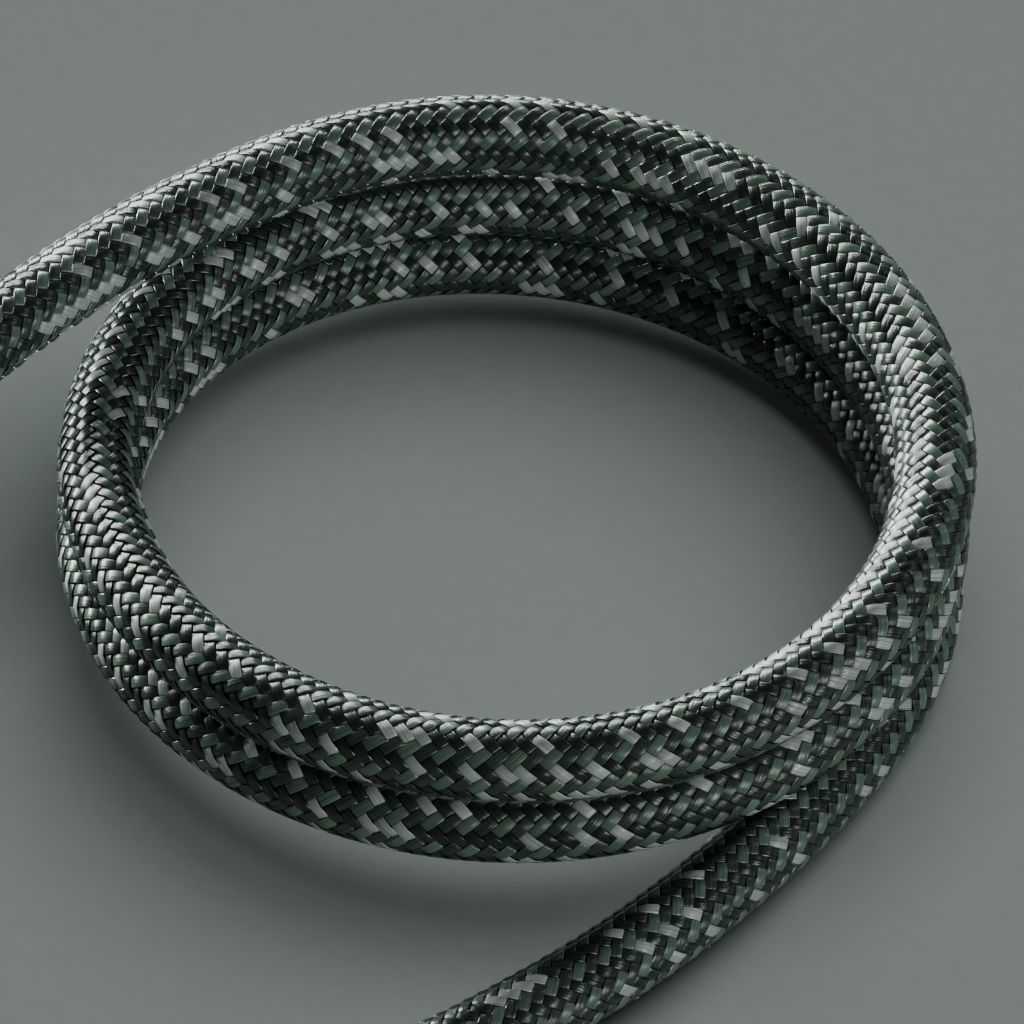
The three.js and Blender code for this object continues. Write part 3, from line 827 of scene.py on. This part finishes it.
def makeLoop(name, radius, keep):
    # a band stretched over the three strands, at a distance from their middles
    left, right, top = strandsInStrap()
    sides = 72
    rise = math.degrees(math.atan2(top[0] - right[0], top[1] - right[1]))
    edge = -rise
    bpy.ops.object.select_all(action="DESELECT")
    bpy.ops.mesh.primitive_cylinder_add(vertices=sides, radius=radius, depth=strap["width"],
                                        end_fill_type="NOTHING", rotation=(0, math.pi / 2, 0))
    loop = bpy.context.object
    loop.name = name
    bpy.ops.object.transform_apply()
    choose(loop, lambda co: True)
    bpy.ops.transform.rotate(value=math.pi / sides, orient_axis="X", center_override=(0, 0, 0))
    if keep:
        bpy.ops.object.mode_set(mode="OBJECT")
        low, high = keep
        choose(loop, lambda co: not low < (math.degrees(math.atan2(co.z, co.y)) + 90) % 360 - 90 < high)
        bpy.ops.mesh.delete(type="VERT")
    bpy.ops.object.mode_set(mode="OBJECT")
    heights = {v.index: math.degrees(math.atan2(v.co.z, v.co.y)) for v in loop.data.vertices}
    for middle, test in (
        (right, lambda a: -90 < a < edge),
        (top, lambda a: edge < a < 180 - edge),
        (left, lambda a: not -90 < a < 180 - edge),
    ):
        chosen = {index for index, angle in heights.items() if test(angle)}
        choose(loop, lambda co: False)
        bpy.ops.object.mode_set(mode="OBJECT")
        for index in chosen:
            loop.data.vertices[index].select = True
        bpy.ops.object.mode_set(mode="EDIT")
        if chosen:
            bpy.ops.transform.translate(value=(0, middle[0], middle[1]))
        bpy.ops.object.mode_set(mode="OBJECT")
    for share in (-0.25, 0, 0.25):
        choose(loop, lambda co: True)
        bpy.ops.mesh.bisect(plane_co=(share * strap["width"], 0, 0), plane_no=(1, 0, 0))
        bpy.ops.object.mode_set(mode="OBJECT")
    outwards(loop)
    return loop


def bend(x):
    # how far the tape falls back, away from its middle, to follow the coil
    return -x * x / (2 * cord["woundRadius"])


def finishTape(tape):
    # follow the bend of the coil, map the weave and move the piece to the coil
    rows = sorted({round(vertex.co.x, 5) for vertex in tape.data.vertices})
    for x in rows:
        choose(tape, lambda co: abs(co.x - x) < 0.000006)
        bpy.ops.transform.translate(value=(0, bend(x), 0))
        bpy.ops.object.mode_set(mode="OBJECT")
    soften(tape, strap["edge"])
    only(tape)
    tape.data.uv_layers[0].name = "tape"
    choose(tape, lambda co: True)
    bpy.ops.uv.cube_project(cube_size=0.001, correct_aspect=False, scale_to_bounds=False)
    bpy.ops.object.mode_set(mode="OBJECT")
    placeAt(tape, (strapMiddle[0], strapLine, 0), 0)
    tape.data.materials.append(web)


def makeStitches(name, places):
    # short rounded stitches: place, the way each runs
    made = []
    for (x, y, z), way in places:
        bpy.ops.object.select_all(action="DESELECT")
        bpy.ops.mesh.primitive_uv_sphere_add(segments=8, ring_count=6, radius=0.5, location=(x, y, z))
        stitch = bpy.context.object
        thin = strap["stitchThick"]
        stitch.scale = [strap["stitch"] if i == way else thin for i in range(3)]
        bpy.ops.object.transform_apply()
        made.append(stitch)
    only(made[0])
    for stitch in made[1:]:
        stitch.select_set(True)
    bpy.ops.object.join()
    rows = bpy.context.object
    rows.name = name
    bpy.ops.object.shade_smooth()
    placeAt(rows, (strapMiddle[0], strapLine, 0), 0)
    rows.data.materials.append(thread)
    return rows


def makeStrap():
    d = cord["diameter"]
    first = 0.5 * d + strap["slack"] + strap["thick"]
    band = makeLoop("strapBand", first, None)
    useModifier(band, "SOLIDIFY", thickness=strap["thick"], offset=-1, use_even_offset=True)
    outwards(band)
    finishTape(band)
    over = makeLoop("strapOver", first + strap["thick"] + 0.00002, (-62, 118))
    useModifier(over, "SOLIDIFY", thickness=strap["thick"], offset=-1, use_even_offset=True)
    outwards(over)
    finishTape(over)

    low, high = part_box("strap_flap")
    thick = strap["flapThick"]
    face = low[1] - strapLine - 0.00012
    bpy.ops.object.select_all(action="DESELECT")
    bpy.ops.mesh.primitive_cube_add(size=1, location=(0, face + thick / 2, (low[2] + high[2]) / 2))
    flap = bpy.context.object
    flap.name = "strapFlap"
    flap.scale = (strap["width"], thick, high[2] - low[2])
    bpy.ops.object.transform_apply()
    for share in (-0.25, 0, 0.25):
        choose(flap, lambda co: True)
        bpy.ops.mesh.bisect(plane_co=(share * strap["width"], 0, 0), plane_no=(1, 0, 0))
        bpy.ops.object.mode_set(mode="OBJECT")
    # round the two free corners
    only(flap)
    bpy.ops.object.mode_set(mode="EDIT")
    bpy.ops.mesh.select_mode(type="EDGE")
    bpy.ops.mesh.select_all(action="DESELECT")
    bpy.ops.object.mode_set(mode="OBJECT")
    for edge in flap.data.edges:
        a, b = (flap.data.vertices[i].co for i in edge.vertices)
        through = abs(a.x - b.x) < 1e-6 and abs(a.z - b.z) < 1e-6
        corner = through and abs(abs(a.x) - strap["width"] / 2) < 1e-6
        edge.select = corner and a.z < (low[2] + high[2]) / 2
    bpy.ops.object.mode_set(mode="EDIT")
    bpy.ops.mesh.bevel(offset=strap["corner"], segments=6, affect="EDGES")
    bpy.ops.object.mode_set(mode="OBJECT")
    finishTape(flap)

    out = face + thick
    places = []
    for k in range(-4, 5):
        x = strap["stitchPitch"] * k
        places.append(((x, out + bend(x), high[2] - strap["rowInset"]), 0))
        if abs(k) < 4:
            places.append(((x, out + bend(x), low[2] + strap["rowInset"]), 0))
    for k in range(3):
        for way in (-1, 1):
            x = way * strap["sideRow"]
            z = low[2] + strap["sideStart"] + strap["sidePitch"] * k
            places.append(((x, out + bend(x), z), 2))
    flapRows = makeStitches("strapFlapStitches", places)

    top = strandsInStrap()[2]
    reach = first + strap["thick"] + 0.00003
    places = []
    for angle in (88, 104):
        turn = math.radians(angle)
        for k in range(-4, 5):
            x = strap["stitchPitch"] * k
            y = top[0] + reach * math.cos(turn) + bend(x)
            places.append(((x, y, top[1] + reach * math.sin(turn)), 0))
    bandRows = makeStitches("strapBandStitches", places)
    return band, over, bandRows, flap, flapRows


band, over, bandRows, flap, flapRows = makeStrap()
for piece in (band, over, bandRows):
    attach(piece, "cable")
for piece in (flap, flapRows):
    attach(piece, "strap_flap")
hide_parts("strap_band")
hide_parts("strap_flap")
print("strap made")


def makeStudio():
    bpy.ops.mesh.primitive_plane_add(size=6, location=(0, 0, 0))
    floor = bpy.context.object
    floor.name = "floor"
    material = bpy.data.materials.new("floor")
    tree, nodes, links, shader = nodesOf(material)
    place = nodes.new("ShaderNodeTexCoord")
    grain = nodes.new("ShaderNodeTexNoise")
    grain.inputs["Scale"].default_value = 900
    links.new(place.outputs["Object"], grain.inputs["Vector"])
    ramp = nodes.new("ShaderNodeValToRGB")
    ramp.color_ramp.elements[0].color = (0.43, 0.462, 0.448, 1)
    ramp.color_ramp.elements[1].color = (0.47, 0.502, 0.488, 1)
    links.new(grain.outputs["Fac"], ramp.inputs["Fac"])
    links.new(ramp.outputs["Color"], shader.inputs["Base Color"])
    shader.inputs["Roughness"].default_value = 0.9
    shader.inputs["Specular IOR Level"].default_value = 0.1
    floor.data.materials.append(material)

    world = bpy.data.worlds.new("studio")
    bpy.context.scene.world = world
    world.use_nodes = True
    world.node_tree.nodes["Background"].inputs["Color"].default_value = (0.92, 1.0, 0.97, 1)
    world.node_tree.nodes["Background"].inputs["Strength"].default_value = 0.045

    target = Vector((coilMiddle[0], coilMiddle[1], 0.005))
    floorOnly = bpy.data.collections.new("floorOnly")
    floorOnly.objects.link(floor)
    allButFloor = bpy.data.collections.new("allButFloor")
    allButFloor.objects.link(floor)
    allButFloor.collection_objects[0].light_linking.link_state = "EXCLUDE"
    # the left light reaches the coil past the bundle and the tail beside it
    allButBundle = bpy.data.collections.new("allButBundle")
    for thing in (core, *sleeves[3:], *plugPieces["plug_b"], band, over, bandRows, flap, flapRows):
        allButBundle.objects.link(thing)
    for row in allButBundle.collection_objects:
        row.light_linking.link_state = "EXCLUDE"
    lights = {
        "backLight": {"at": (-0.26, 0.5, 0.16), "size": (0.6, 0.1), "power": 9.0, "on": allButFloor},
        "leftLight": {"at": (-0.45, 0.36, 0.045), "size": (0.24, 0.05), "power": 5.0, "on": allButFloor},
        "rightLight": {"at": (0.44, 0.28, 0.36), "size": (0.16, 0.2), "power": 0.25, "on": allButFloor},
        "frontLight": {"at": (0.38, -0.38, 0.2), "size": (0.4, 0.1), "power": 1.6, "on": allButFloor},
        "topLight": {"at": (0.3, 0.35, 1.5), "size": (2.0, 2.0), "power": 15.2, "on": floorOnly},
    }
    for name, facts in lights.items():
        data = bpy.data.lights.new(name, "AREA")
        data.shape = "RECTANGLE"
        data.size, data.size_y = facts["size"]
        data.energy = facts["power"]
        data.color = (0.95, 1.0, 0.97)
        lamp = bpy.data.objects.new(name, data)
        bpy.context.collection.objects.link(lamp)
        lamp.location = target + Vector(facts["at"])
        lamp.rotation_mode = "QUATERNION"
        lamp.rotation_quaternion = (-Vector(facts["at"])).to_track_quat("-Z", "Y")
        lamp.light_linking.receiver_collection = facts["on"]
        if name == "leftLight":
            lamp.light_linking.blocker_collection = allButBundle


makeStudio()
print("studio made")
